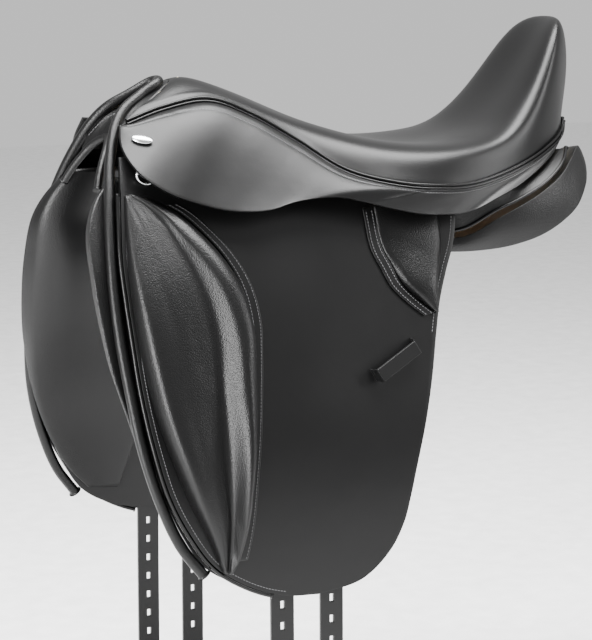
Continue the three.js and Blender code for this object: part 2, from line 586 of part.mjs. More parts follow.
// An oval stud lying on the front of each skirt.
function buildStud() {
  const [u, v] = STUD.place;
  const seat = skirtFace(SKIRT_THICKNESS)(u, v);
  const rearwards = skirtFace(SKIRT_THICKNESS)(u + 0.01, v).sub(seat);
  const downwards = skirtFace(SKIRT_THICKNESS)(u, v + 0.01).sub(seat);
  const outwards = downwards.cross(rearwards).normalize();
  const stud = new THREE.SphereGeometry(1, 8, 6).scale(...STUD.halfSize).rotateY(STUD.tilt);
  stud.applyQuaternion(new THREE.Quaternion().setFromUnitVectors(vec([0, -1, 0]), outwards));
  const centre = seat.addScaledVector(outwards, STUD.halfSize[1] + STUD.clearance);
  addPair("skirt_stud", stud.translate(centre.x, centre.y, centre.z), MATERIALS.steel);
}

buildSeat();
buildSeatWelt();
buildFlap();
buildKneeBlock();
buildThighPad();
buildKeeperLoop();
buildSkirt();
buildFrontRoll();
buildSweatFlap();
buildPanel();
buildRearGusset();
buildPommel();
buildStirrupBar();
buildBillets();
buildFrontRing();
buildStud();

export default saddle;
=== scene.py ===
import math

import bpy
import numpy as np
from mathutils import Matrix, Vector


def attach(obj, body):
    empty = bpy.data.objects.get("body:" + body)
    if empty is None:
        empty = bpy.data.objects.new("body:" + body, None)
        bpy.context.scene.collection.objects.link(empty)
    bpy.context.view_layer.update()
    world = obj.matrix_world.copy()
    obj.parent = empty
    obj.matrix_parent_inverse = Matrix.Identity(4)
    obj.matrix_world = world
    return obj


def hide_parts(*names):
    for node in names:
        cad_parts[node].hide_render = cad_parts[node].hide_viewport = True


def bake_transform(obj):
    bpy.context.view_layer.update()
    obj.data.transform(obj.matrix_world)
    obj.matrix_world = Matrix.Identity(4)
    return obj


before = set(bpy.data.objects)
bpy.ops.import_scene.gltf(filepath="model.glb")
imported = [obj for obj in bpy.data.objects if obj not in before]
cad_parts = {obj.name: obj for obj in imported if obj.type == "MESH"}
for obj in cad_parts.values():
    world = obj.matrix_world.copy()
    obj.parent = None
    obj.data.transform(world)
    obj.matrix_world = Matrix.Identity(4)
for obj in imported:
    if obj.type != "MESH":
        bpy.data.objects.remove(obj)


def write_size():
    """Updates the view layer; it measures and notes nothing."""
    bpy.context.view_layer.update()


write_size()

# ---------------------------------------------------------------- dimensions, in millimetres
MM = 0.001
SIDES = {"left": 1, "right": -1}
BODY_LINE = [(-560, 172), (-300, 169), (-199, 160), (-111, 134), (-28, 105), (55, 68), (114, 31), (152, 6)]
LEATHER = 3.5
FLAP_OFF = 10.5
FLAP_THICKNESS = 4.5
PAD_OFF = FLAP_OFF + FLAP_THICKNESS + 0.6
EDGE = 1.2
SKIRT_THICKNESS = 4
ROLL_RADIUS = 5.5
INNER_ROLL_RADIUS = 4
STITCH_PITCH = 3.4
STITCH_LENGTH = 2.5
STITCH_RADIUS = 0.42


# ---------------------------------------------------------------- curves
def smooth(table):
    """A smooth function through (position, value) pairs with rising positions."""
    xs, ys = np.array(table, float).T
    slopes = np.empty(len(xs))
    slopes[1:-1] = (ys[2:] - ys[:-2]) / (xs[2:] - xs[:-2])
    slopes[0] = (ys[1] - ys[0]) / (xs[1] - xs[0])
    slopes[-1] = (ys[-1] - ys[-2]) / (xs[-1] - xs[-2])

    def value(x):
        i = np.clip(np.searchsorted(xs, x, side="right") - 1, 0, len(xs) - 2)
        span = xs[i + 1] - xs[i]
        t = np.clip((x - xs[i]) / span, 0, 1)
        rise = slopes[i] * span, slopes[i + 1] * span
        return ((2 * t**3 - 3 * t**2 + 1) * ys[i] + (t**3 - 2 * t**2 + t) * rise[0]
                + (3 * t**2 - 2 * t**3) * ys[i + 1] + (t**3 - t**2) * rise[1])

    return value


def spline(points):
    """A smooth curve through points, as a function of 0 to 1 that gives each point an equal share."""
    p = np.array(points, float)
    p = np.vstack([2 * p[0] - p[1], p, 2 * p[-1] - p[-2]])
    gaps = np.maximum(np.sum((p[1:] - p[:-1]) ** 2, axis=1) ** 0.25, 1e-4)

    def value(t):
        place = np.clip(t, 0, 1) * (len(points) - 1)
        i = min(int(place), len(points) - 2)
        s = place - i
        a, b, c, d = p[i:i + 4]
        g0, g1, g2 = gaps[i:i + 3]
        leave = ((b - a) / g0 - (c - a) / (g0 + g1) + (c - b) / g1) * g1
        arrive = ((c - b) / g1 - (d - b) / (g1 + g2) + (d - c) / g2) * g1
        return (b + leave * s + (3 * (c - b) - 2 * leave - arrive) * s**2
                + (2 * (b - c) + leave + arrive) * s**3)

    return value


def along(points, samples=400):
    """The same curve, as a function of 0 to 1 along its length."""
    curve = spline([(p[0], 0, p[1]) if len(p) == 2 else p for p in points])
    track = np.array([curve(t) for t in np.linspace(0, 1, samples)])
    reach = np.r_[0, np.cumsum(np.linalg.norm(np.diff(track, axis=0), axis=1))]
    reach /= reach[-1]
    return lambda t: np.array([np.interp(np.clip(t, 0, 1), reach, track[:, k]) for k in range(3)])


def mix(a, b, t):
    return a + (b - a) * t


body_line = smooth(BODY_LINE)


def on_side(x, z, outwards):
    """A point on the left side, a distance outwards from the body line."""
    return np.array([x, -(body_line(z) + outwards), z])


# ---------------------------------------------------------------- meshes
def mesh_object(name, points, faces, side=1):
    """An object from points in millimetres, mirrored for the right side."""
    points = np.array(points, float) * (MM, MM * side, MM)
    data = bpy.data.meshes.new(name)
    data.from_pydata(points.tolist(), [], [tuple(f) if side > 0 else tuple(f)[::-1] for f in faces])
    data.validate()
    data.shade_smooth()
    obj = bpy.data.objects.new(name, data)
    bpy.context.collection.objects.link(obj)
    return obj


def recalculate_normals(obj):
    bpy.context.view_layer.objects.active = obj
    for other in bpy.context.selected_objects:
        other.select_set(False)
    obj.select_set(True)
    bpy.ops.object.mode_set(mode="EDIT")
    bpy.ops.mesh.select_all(action="SELECT")
    bpy.ops.mesh.remove_doubles(threshold=0.00002)
    bpy.ops.mesh.normals_make_consistent(inside=False)
    bpy.ops.object.mode_set(mode="OBJECT")


def soften(obj, width, segments=3, angle=40):
    """Rounds an object's edges."""
    bevel = obj.modifiers.new("rounded edges", "BEVEL")
    bevel.width = width * MM
    bevel.segments = segments
    bevel.limit_method = "ANGLE"
    bevel.angle_limit = math.radians(angle)
    bevel.harden_normals = False
    return obj


def between(name, outer, inner, nu, nv, side=1):
    """A closed solid between two surfaces of (u, v), joined round their edges."""
    grid = [face(i / nu, j / nv) for face in (outer, inner) for j in range(nv + 1) for i in range(nu + 1)]
    layer = (nu + 1) * (nv + 1)
    at = lambda i, j, k=0: k * layer + j * (nu + 1) + i
    faces = []
    for j in range(nv):
        for i in range(nu):
            faces.append((at(i, j), at(i + 1, j), at(i + 1, j + 1), at(i, j + 1)))
            faces.append((at(i, j, 1), at(i, j + 1, 1), at(i + 1, j + 1, 1), at(i + 1, j, 1)))
        faces.append((at(0, j), at(0, j + 1), at(0, j + 1, 1), at(0, j, 1)))
        faces.append((at(nu, j + 1), at(nu, j), at(nu, j, 1), at(nu, j + 1, 1)))
    for i in range(nu):
        faces.append((at(i + 1, 0), at(i, 0), at(i, 0, 1), at(i + 1, 0, 1)))
        faces.append((at(i, nv), at(i + 1, nv), at(i + 1, nv, 1), at(i, nv, 1)))
    obj = mesh_object(name, grid, faces, side)
    recalculate_normals(obj)
    return obj


def side_solid(name, front_edge, rear_edge, inner_off, outer_off, nu, nv, side=1):
    """A solid following the body line between a front and a rear edge and between two offsets."""
    def face(off):
        def point(u, v):
            x, _, z = mix(front_edge(v), rear_edge(v), u)
            return on_side(x, z, off(u, v) if callable(off) else off)
        return point
    return between(name, face(outer_off), face(inner_off), nu, nv, side)


def tube(name, points, radius, side=1, sides=12, closed=False):
    """A tube along closely spaced points, with rounded ends."""
    points = [np.array(p, float) for p in points]
    count = len(points)
    rings, normal = [], None
    for i, p in enumerate(points):
        before = points[i - 1] if i or closed else p
        after = points[(i + 1) % count] if i < count - 1 or closed else p
        tangent = (after - before) / np.linalg.norm(after - before)
        if normal is None:
            normal = np.cross(tangent, (0, 0, 1) if abs(tangent[2]) < 0.9 else (1, 0, 0))
        normal = normal - tangent * normal.dot(tangent)
        normal = normal / np.linalg.norm(normal)
        other = np.cross(tangent, normal)
        ring = [p + radius * (math.cos(a) * normal + math.sin(a) * other)
                for a in np.linspace(0, 2 * math.pi, sides, endpoint=False)]
        rings.append(ring)
    faces = []
    for i in range(count if closed else count - 1):
        for k in range(sides):
            a, b = i * sides, ((i + 1) % count) * sides
            faces.append((a + k, b + k, b + (k + 1) % sides, a + (k + 1) % sides))
    flat = [q for ring in rings for q in ring]
    if not closed:
        faces.append(tuple(range(sides))[::-1])
        faces.append(tuple((count - 1) * sides + k for k in range(sides)))
    return soften(mesh_object(name, flat, faces, side), radius * 0.5, 3, 60)


def stitches(name, track, side=1, pitch=STITCH_PITCH, length=STITCH_LENGTH, radius=STITCH_RADIUS, sink=0.35):
    """A row of thread stitches along closely spaced points on a surface."""
    track = np.array(track, float)
    reach = np.r_[0, np.cumsum(np.linalg.norm(np.diff(track, axis=0), axis=1))]
    at = lambda s: np.array([np.interp(s, reach, track[:, k]) for k in range(3)])
    points, faces = [], []
    for start in np.arange(0.5, reach[-1] - length, pitch):
        a, b = at(start), at(start + length)
        along_it = (b - a) / np.linalg.norm(b - a)
        across = np.cross(along_it, (0, 1, 0))
        across /= max(np.linalg.norm(across), 1e-6)
        up = np.cross(along_it, across)
        base = len(points)
        for share, size in ((0, 0.45), (0.2, 1), (0.8, 1), (1, 0.45)):
            middle = mix(a, b, share) + np.array([0, sink * radius, 0])
            points += [middle + size * radius * (math.cos(t) * across + math.sin(t) * up)
                       for t in np.linspace(0, 2 * math.pi, 6, endpoint=False)]
        for r in range(3):
            for k in range(6):
                p, q = base + 6 * r, base + 6 * (r + 1)
                faces.append((p + k, q + k, q + (k + 1) % 6, p + (k + 1) % 6))
        faces.append(tuple(base + k for k in range(6))[::-1])
        faces.append(tuple(base + 18 + k for k in range(6)))
    obj = mesh_object(name, points, faces, side)
    return paint(obj, "thread")


def inflate(obj, stitched, pressure, cap):
    rest = np.array([v.co for v in obj.data.vertices])
    group = obj.vertex_groups.new(name="stitched")
    group.add([int(i) for i in stitched], 1.0, "REPLACE")
    cloth = obj.modifiers.new("inflate", "CLOTH")
    cloth.settings.quality = 4
    cloth.settings.mass = 0.15
    cloth.settings.tension_stiffness = 12
    cloth.settings.compression_stiffness = 6
    cloth.settings.bending_stiffness = 1.5
    cloth.settings.vertex_group_mass = "stitched"
    cloth.settings.use_pressure = True
    cloth.settings.uniform_pressure_force = pressure
    cloth.settings.effector_weights.gravity = 0
    cloth.point_cache.frame_start = 1
    cloth.point_cache.frame_end = 20
    for number in range(1, 21):
        bpy.context.scene.frame_set(number)
    shaped = obj.evaluated_get(bpy.context.evaluated_depsgraph_get()).to_mesh()
    moved = np.array([v.co for v in shaped.vertices]) - rest
    far = np.maximum(np.linalg.norm(moved, axis=1, keepdims=True), 1e-9)
    moved *= np.minimum(1, cap * MM / far)
    obj.modifiers.remove(cloth)
    bpy.context.scene.frame_set(1)
    obj.data.vertices.foreach_set("co", (rest + moved).ravel())
    obj.data.update()
    return obj


# ---------------------------------------------------------------- materials
def node(tree, kind, **values):
    made = tree.nodes.new(kind)
    for key, value in values.items():
        if key in made.inputs:
            made.inputs[key].default_value = value
        else:
            setattr(made, key, value)
    return made


def leather(name, shade, roughness, grain_size, grain_depth, crease_depth, sheen, wear):
    """Black leather: grain cells, broad creases, uneven sheen and lighter worn edges."""
    material = bpy.data.materials.new(name)
    material.use_nodes = True
    tree = material.node_tree
    link = tree.links.new
    shader = tree.nodes["Principled BSDF"]
    place = node(tree, "ShaderNodeTexCoord").outputs["Object"]
    cells = node(tree, "ShaderNodeTexVoronoi", Scale=1000 / grain_size, Randomness=1.0)
    cells.feature = "SMOOTH_F1"
    cells.inputs["Smoothness"].default_value = 0.35
    warp = node(tree, "ShaderNodeTexNoise", Scale=260.0, Detail=2.0)
    link(place, warp.inputs["Vector"])
    bent = node(tree, "ShaderNodeVectorMath", operation="MULTIPLY_ADD")
    bent.inputs[1].default_value = (0.0009, 0.0009, 0.0009)
    link(warp.outputs["Color"], bent.inputs[0])
    link(place, bent.inputs[2])
    link(bent.outputs[0], cells.inputs["Vector"])
    creases = node(tree, "ShaderNodeTexNoise", Scale=38.0, Detail=5.0, Roughness=0.55)
    link(place, creases.inputs["Vector"])
    pores = node(tree, "ShaderNodeTexNoise", Scale=2200.0, Detail=2.0)
    link(place, pores.inputs["Vector"])
    rounded = node(tree, "ShaderNodeBevel", Radius=0.8 * MM)
    broad = node(tree, "ShaderNodeBump", Strength=1.0, Distance=crease_depth * MM)
    link(rounded.outputs["Normal"], broad.inputs["Normal"])
    link(creases.outputs["Fac"], broad.inputs["Height"])
    fine = node(tree, "ShaderNodeBump", Strength=1.0, Distance=grain_depth * MM)
    fine.invert = True
    link(cells.outputs["Distance"], fine.inputs["Height"])
    link(broad.outputs["Normal"], fine.inputs["Normal"])
    skin = node(tree, "ShaderNodeBump", Strength=0.35, Distance=0.02 * MM)
    link(pores.outputs["Fac"], skin.inputs["Height"])
    link(fine.outputs["Normal"], skin.inputs["Normal"])
    link(skin.outputs["Normal"], shader.inputs["Normal"])
    patches = node(tree, "ShaderNodeTexNoise", Scale=9.0, Detail=3.0)
    link(place, patches.inputs["Vector"])
    dull = node(tree, "ShaderNodeMapRange")
    dull.inputs["To Min"].default_value = roughness - 0.05
    dull.inputs["To Max"].default_value = roughness + 0.06
    link(patches.outputs["Fac"], dull.inputs["Value"])
    link(dull.outputs["Result"], shader.inputs["Roughness"])
    tone = node(tree, "ShaderNodeMix", data_type="RGBA")
    tone.inputs["A"].default_value = (shade * 0.8, shade * 0.8, shade * 0.82, 1)
    tone.inputs["B"].default_value = (shade * 1.25, shade * 1.24, shade * 1.28, 1)
    link(patches.outputs["Fac"], tone.inputs["Factor"])
    edges = node(tree, "ShaderNodeNewGeometry").outputs["Pointiness"]
    worn = node(tree, "ShaderNodeMapRange")
    worn.inputs["From Min"].default_value = 0.52
    worn.inputs["From Max"].default_value = 0.62
    worn.inputs["To Max"].default_value = wear
    link(edges, worn.inputs["Value"])
    rubbed = node(tree, "ShaderNodeMix", data_type="RGBA")
    rubbed.inputs["B"].default_value = (shade * 3, shade * 3, shade * 3, 1)
    link(worn.outputs["Result"], rubbed.inputs["Factor"])
    link(tone.outputs["Result"], rubbed.inputs["A"])
    link(rubbed.outputs["Result"], shader.inputs["Base Color"])
    shader.inputs["Specular IOR Level"].default_value = 0.24
    shader.inputs["Sheen Weight"].default_value = sheen
    shader.inputs["Sheen Roughness"].default_value = 0.4
    return material


def plain(name, color, roughness, metallic=0.0, bump_scale=600.0, bump_depth=0.03, streak=1.0):
    """A simple finish with a fine uneven surface; a streak above 1 stretches it into brushing or grain."""
    material = bpy.data.materials.new(name)
    material.use_nodes = True
    tree = material.node_tree
    link = tree.links.new
    shader = tree.nodes["Principled BSDF"]
    place = node(tree, "ShaderNodeTexCoord").outputs["Object"]
    stretch = node(tree, "ShaderNodeMapping")
    stretch.inputs["Scale"].default_value = (1.0 / streak, 1.0, 1.0)
    link(place, stretch.inputs["Vector"])
    noise = node(tree, "ShaderNodeTexNoise", Scale=bump_scale, Detail=4.0)
    link(stretch.outputs["Vector"], noise.inputs["Vector"])
    bump = node(tree, "ShaderNodeBump", Strength=0.6, Distance=bump_depth * MM)
    link(noise.outputs["Fac"], bump.inputs["Height"])
    rounded = node(tree, "ShaderNodeBevel", Radius=0.8 * MM)
    link(rounded.outputs["Normal"], bump.inputs["Normal"])
    link(bump.outputs["Normal"], shader.inputs["Normal"])
    tone = node(tree, "ShaderNodeMix", data_type="RGBA")
    tone.inputs["A"].default_value = (*[c * 0.8 for c in color], 1)
    tone.inputs["B"].default_value = (*[min(1, c * 1.15) for c in color], 1)
    link(noise.outputs["Fac"], tone.inputs["Factor"])
    link(tone.outputs["Result"], shader.inputs["Base Color"])
    rough = node(tree, "ShaderNodeMapRange")
    rough.inputs["To Min"].default_value = roughness * 0.85
    rough.inputs["To Max"].default_value = min(1, roughness * 1.15)
    link(noise.outputs["Fac"], rough.inputs["Value"])
    link(rough.outputs["Result"], shader.inputs["Roughness"])
    shader.inputs["Metallic"].default_value = metallic
    return material


MATERIALS = {
    "smooth": leather("smooth_leather", 0.0022, 0.36, 0.55, 0.03, 0.22, 0.0, 0.35),
    "grain": leather("grain_leather", 0.0018, 0.36, 1.3, 0.2, 0.2, 0.0, 0.2),
    "seat": leather("seat_leather", 0.0025, 0.34, 0.6, 0.03, 0.12, 0.0, 0.0),
    "binding": leather("binding_leather", 0.002, 0.24, 0.5, 0.02, 0.1, 0.0, 0.1),
    "lining": leather("lining_leather", 0.002, 0.5, 0.7, 0.05, 0.4, 0.0, 0.1),
    "thread": plain("thread", (0.085, 0.085, 0.088), 0.5, 0.0, 3000.0, 0.05, 4.0),
    "foam": plain("foam", (0.62, 0.56, 0.42), 0.9, 0.0, 900.0, 0.4),
    "web": plain("webbing", (0.5, 0.45, 0.33), 0.85, 0.0, 700.0, 0.4, 6.0),
    "wood": plain("wood", (0.32, 0.19, 0.09), 0.5, 0.0, 160.0, 0.1, 14.0),
    "steel": plain("steel", (0.62, 0.63, 0.64), 0.22, 1.0, 500.0, 0.01, 8.0),
    "floor": plain("floor", (0.94, 0.94, 0.94), 0.8, 0.0, 30.0, 0.01),
}


def paint(obj, finish):
    obj.data.materials.clear()
    obj.data.materials.append(MATERIALS[finish])
    return obj


def place(obj, finish, body, *nodes):
    """Gives a finished piece its leather, its CAD body and the CAD nodes that it stands for."""
    paint(obj, finish)
    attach(obj, body)
    if nodes:
        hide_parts(*nodes)
    return obj


# ---------------------------------------------------------------- seat
SEAT_CENTRE = [(-146, 156), (-130, 160), (-98, 149), (-60, 133), (-16, 113), (30, 96), (76, 83), (120, 76),
               (162, 79), (204, 93), (240, 122), (272, 164), (298, 206), (312, 217), (323, 190),
               (326, 146), (321, 112)]
SEAT_SHOULDER = [(-170, -22, 143), (-143, -24, 152), (-104, -28, 146), (-64, -36, 130), (-20, -50, 109),
                 (26, -72, 92), (70, -90, 83), (114, -101, 81), (158, -101, 83), (204, -92, 91),
                 (238, -81, 120), (268, -67, 166), (291, -51, 202), (308, -36, 206), (320, -26, 180),
                 (323, -19, 142), (320, -9, 110)]
SEAT_WELT = [(-209, -42, 118), (-168, -40, 131), (-120, -43, 138), (-76, -50, 122), (-30, -66, 94),
             (14, -90, 64), (64, -110, 50), (110, -116, 45.5), (152, -111, 46), (196, -100, 54),
             (236, -86, 65), (266, -70, 75), (290, -53, 84), (303, -40, 91), (311, -29, 99),
             (315, -22, 103), (317, -16, 105)]
SEAT_COVER_SHARE = 0.07
SEAT_ROUNDING = 45
CORE_DROP = 8
CORE_REAR_X = 258
seat_centre = spline([(x, 0, z) for x, z in SEAT_CENTRE])
seat_shoulder = spline(SEAT_SHOULDER)
seat_welt = spline(SEAT_WELT)
FLIP = np.array([1, -1, 1])
WELT_SAMPLES = [seat_welt(t) for t in np.linspace(0, 1, 120)]


def seat_surface(u, v):
    centre, shoulder, welt = seat_centre(v), seat_shoulder(v), seat_welt(v)
    return spline([welt, shoulder, centre, shoulder * FLIP, welt * FLIP])(u)


def seat_layer(share):
    def point(u, v):
        welt = seat_welt(v)
        core = np.array([min(mix(welt[0], seat_centre(v)[0], 0.5), CORE_REAR_X), 0, welt[2] - CORE_DROP])
        return mix(seat_surface(u, v), core, share)
    return point


def seat_edge(point):
    """Whether a point of the seat lies at its stitched lower edge."""
    x, y, z = point / MM
    t = np.argmin([abs(w[0] - x) for w in WELT_SAMPLES])
    return z < WELT_SAMPLES[t][2] + 6


def build_seat():
    nu, nv = 40, 100
    cover = between("padded_seat", seat_layer(0), seat_layer(SEAT_COVER_SHARE), nu, nv)
    edge = [i for i, v in enumerate(cover.data.vertices) if seat_edge(v.co)]
    free = cover.vertex_groups.new(name="free")
    free.add([i for i in range(len(cover.data.vertices)) if i not in set(edge)], 1.0, "REPLACE")
    calm = cover.modifiers.new("rounded", "SMOOTH")
    calm.iterations = SEAT_ROUNDING
    calm.vertex_group = "free"
    inflate(cover, edge, 0.9, 2.0)
    soften(cover, 2.5, 4, 50)
    place(cover, "seat", "saddle", "seat_cover")


def welt_track(first, last, outwards, drop, count):
    """Points beside the seat's welt, moved outwards and down."""
    track = []
    for t in np.linspace(first, last, count):
        tangent = seat_welt(t + 0.004) - seat_welt(max(t - 0.004, 0))
        out = np.array([tangent[1], -tangent[0], 0])
        track.append(seat_welt(t) + out / np.linalg.norm(out) * outwards + (0, 0, -drop))
    return track


def build_welts(name, side):
    body = "saddle"
    upper = tube(f"{name}_upper_piping", welt_track(0.0, 0.9, 1.8, 0.2, 200), 1.7, side)
    place(upper, "binding", body, f"{name}_seat_welt")
    lower = tube(f"{name}_lower_piping", welt_track(0.0, 0.9, 3.4, 3.6, 200), 1.5, side)
    place(lower, "binding", body)

    def face(depth):
        def point(u, v):
            t = mix(0.0, 0.9, u)
            tangent = seat_welt(t + 0.004) - seat_welt(max(t - 0.004, 0))
            out = np.array([tangent[1], -tangent[0], 0]) / np.hypot(tangent[0], tangent[1])
            return seat_welt(t) + out * (mix(0.2, 2.4, v) - depth) + (0, 0, mix(0.6, -6.5, v))
        return point

    strip = between(f"{name}_seam_strip", face(0), face(1.5), 160, 4, side)
    place(strip, "smooth", body)


# ---------------------------------------------------------------- flaps
FLAP_FRONT = along([(-231, 54.4), (-236, 26), (-241, -10), (-242, -47), (-241, -94), (-239, -140),
                    (-233, -186), (-221, -234), (-201, -275), (-176, -309), (-136, -335), (-100, -347),
                    (-66, -350)])
FLAP_REAR = along([(138, 22.9), (127, -13), (112, -42), (99, -71), (90, -100), (79, -139), (67, -177),
                   (58, -205), (49, -234), (41, -263), (33, -288), (16, -316), (-16, -341), (-66, -350)])
KNEE_FRONT = along([(-229, 49), (-234, 17), (-238, -20), (-239, -67), (-236, -113), (-229, -160),
                    (-218, -199), (-202, -242), (-183, -282), (-170, -314)])
KNEE_REAR = along([(-221, 50), (-202, 44), (-178, 31), (-157, 11), (-138, -13), (-125, -41), (-120, -75),
                   (-124, -113), (-133, -168), (-142, -224), (-149, -271), (-156, -300), (-163, -316)])
KNEE_HEIGHT = 38
knee_section = smooth([(0, 0), (0.03, 0.42), (0.1, 0.6), (0.3, 0.58), (0.5, 0.52), (0.62, 0.5),
                       (0.68, 0.62), (0.8, 0.97), (0.86, 1), (0.94, 0.78), (1, 0)])
knee_taper = smooth([(0, 0.1), (0.1, 0.3), (0.3, 0.85), (0.5, 1), (0.8, 0.9), (1, 0.2)])
THIGH_FRONT = along([(40, 27), (41, -12), (49, -33), (57, -51), (72, -67), (90, -82)])
THIGH_REAR = along([(112, 21), (112, -5), (107, -28), (99, -50), (96, -66), (94, -82)])
thigh_section = smooth([(0, 0), (0.12, 0.75), (0.5, 1), (0.88, 0.75), (1, 0)])
thigh_taper = smooth([(0, 0.3), (0.35, 0.4), (0.7, 1), (1, 0.3)])
KEEPER_RISE = 10.5


def shifted(edge, dx, dz=0.0):
    return lambda t: edge(t) + (dx, 0, dz)


def clipped(edge, low, high):
    return lambda t: edge(mix(low, high, t))


def inset(edge, amount, low, high, count, off):
    """Points a distance to the right of an edge as it runs down, at an offset from the body line."""
    track = []
    for t in np.linspace(low, high, count):
        way = edge(min(t + 0.004, 1)) - edge(max(t - 0.004, 0))
        way /= np.linalg.norm(way)
        p = edge(t) + amount * np.array([-way[2], 0, way[0]])
        track.append(on_side(p[0], p[2], off))
    return track


def build_flap(name, side):
    body = f"{name}_flap_body"
    outer = FLAP_OFF + FLAP_THICKNESS
    rows = along([(-231, 54.4), (-229, 66), (-225, 84)])
    front = lambda t: rows(1 - t / 0.06) if t < 0.06 else FLAP_FRONT((t - 0.06) / 0.94)
    top = along([(138, 22.9), (139, 28), (139, 33)])
    rear = lambda t: top(1 - t / 0.06) if t < 0.06 else FLAP_REAR((t - 0.06) / 0.94)
    flap = side_solid(f"{name}_flap_leather", front, rear, FLAP_OFF, outer, 60, 170, side)
    soften(flap, 1.4, 3, 50)
    paint(flap, "smooth")
    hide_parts(f"{name}_flap", f"{name}_flap_head")
    middle = on_side(-56, 40, outer) * (MM, MM * side, MM)
    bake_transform(flap)
    binding = tube(f"{name}_flap_binding", inset(FLAP_FRONT, -2.2, 0.01, 0.9, 220, FLAP_OFF + 2.6), 2.3, side)
    place(binding, "binding", body, f"{name}_flap_piping")
    front_track = inset(FLAP_FRONT, 4.2, 0.02, 0.93, 300, outer + 0.1)
    edge_row = stitches(f"{name}_flap_front_stitches", front_track, side)
    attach(edge_row, body)
    rear_row = stitches(f"{name}_flap_rear_stitches", inset(FLAP_REAR, -5, 0.03, 0.3, 120, outer + 0.1), side)
    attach(rear_row, body)


def build_knee_block(name, side):
    body = f"{name}_flap_body"
    nu, nv = 44, 100
    height = lambda u, v: PAD_OFF + EDGE + KNEE_HEIGHT * max(0, knee_section(u)) * knee_taper(v)
    block = side_solid(f"{name}_padded_knee_block", KNEE_FRONT, KNEE_REAR, PAD_OFF, height, nu, nv, side)
    inflate(block, held_by_height(block, side, 2.5), 1.2, 2.0)
    place(block, "grain", body, f"{name}_knee_block")
    lower = clipped(KNEE_REAR, 0.08, 0.97)
    trim = side_solid(f"{name}_knee_trim", shifted(lower, 1.5), shifted(lower, 14), PAD_OFF - 0.4,
                      PAD_OFF + 2.4,
                      6, 90, side)
    soften(trim, 1.1, 3, 50)
    place(trim, "smooth", body, f"{name}_knee_block_trim")
    for row, dx in enumerate((4.5, 11.5)):
        track = [on_side(p[0] + dx, p[2], PAD_OFF + 2.5) for p in (lower(t) for t in np.linspace(0, 1, 200))]
        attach(stitches(f"{name}_knee_trim_stitches_{row}", track, side), body)


def held_by_height(obj, side, height):
    """The vertices of a pad that lie within a height of the flap that it is stitched to."""
    held = []
    for vertex in obj.data.vertices:
        x, y, z = vertex.co / MM
        if -y * side - body_line(z) < PAD_OFF + height:
            held.append(vertex.index)
    return held


def build_thigh_pad(name, side):
    body = f"{name}_flap_body"
    height = lambda u, v: PAD_OFF + EDGE + 10 * max(0, thigh_section(u)) * thigh_taper(v)
    pad = side_solid(f"{name}_padded_thigh_pad", THIGH_FRONT, THIGH_REAR, PAD_OFF, height, 24, 36, side)
    inflate(pad, held_by_height(pad, side, 2), 1.0, 1.5)
    place(pad, "grain", body, f"{name}_thigh_pad")
    border = side_solid(f"{name}_thigh_border", shifted(THIGH_FRONT, -13, -3),
                        shifted(THIGH_FRONT, -0.5, -0.5),
                        PAD_OFF - 0.4, PAD_OFF + 1.8, 5, 50, side)
    soften(border, 0.8, 3, 50)
    place(border, "smooth", body, f"{name}_thigh_pad_border")
    for row, (dx, dz) in enumerate(((-3.5, -1.2), (-10, -2.4))):
        edge = [THIGH_FRONT(t) for t in np.linspace(0.03, 1, 120)]
        track = [on_side(p[0] + dx, p[2] + dz, PAD_OFF + 1.9) for p in edge]
        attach(stitches(f"{name}_thigh_stitches_{row}", track, side), body)


def build_keeper(name, side):
    body = f"{name}_flap_body"
    lower = lambda t: np.array([mix(12, 64, t), 0, mix(-144, -117, t)])
    upper = lambda t: np.array([mix(6, 58, t), 0, mix(-132, -105, t)])
    rise = lambda extra: lambda u, v: PAD_OFF + extra + KEEPER_RISE * smooth_step(min(v, 1 - v) * 26 - 0.2)
    keeper = side_solid(f"{name}_keeper", upper, lower, rise(0), rise(3), 8, 60, side)
    soften(keeper, 1.0, 3, 50)
    place(keeper, "smooth", body, f"{name}_keeper_loop")


def smooth_step(t):
    t = min(1, max(0, t))
    return t * t * (3 - 2 * t)


# ---------------------------------------------------------------- skirts
SKIRT_SEAM_START = 0.005
SKIRT_SEAM_END = 0.83
SKIRT_BULGE = 9
STUD_PLACE = (0.065, 0.64)
STUD_HALF_SIZE = (11, 2, 5)
STUD_TILT = 0.42
STUD_STAND_OFF = 2.6
RING_X, RING_Y, RING_Z = -203, -83.4, 71
SKIRT_SEAM_DEPTH = 12
SKIRT_HEM = along([(-219, -50, 114), (-223, -65, 93), (-214, -93, 68), (-191, -105, 51), (-160, -110, 39),
                   (-128, -116, 31), (-90, -120, 30), (-57, -118, 37), (-12, -118, 39), (17, -120, 33),
                   (51, -123, 24), (80, -126, 18), (104, -127, 16), (140, -123, 17), (174, -117, 28),
                   (210, -108, 41), (241, -93, 54), (270, -75, 68), (292, -55, 81), (302, -44, 88)])


def skirt_sheet(outwards, groove=0.0):
    def point(u, v):
        seam = seat_welt(mix(SKIRT_SEAM_START, SKIRT_SEAM_END, u)) + (0, -1.2, -5.5)
        hem = SKIRT_HEM(u)
        p = mix(seam, hem, v)
        bulge = SKIRT_BULGE * math.sin(math.pi * math.sqrt(v)) * math.sqrt(math.sin(math.pi * min(1, u * 2)))
        sunk = groove * math.exp(-((v * np.linalg.norm(hem - seam) - SKIRT_SEAM_DEPTH) / 1.4) ** 2)
        return p + (0, sunk - bulge - outwards, bulge * 0.3 + outwards * 0.2)
    return point


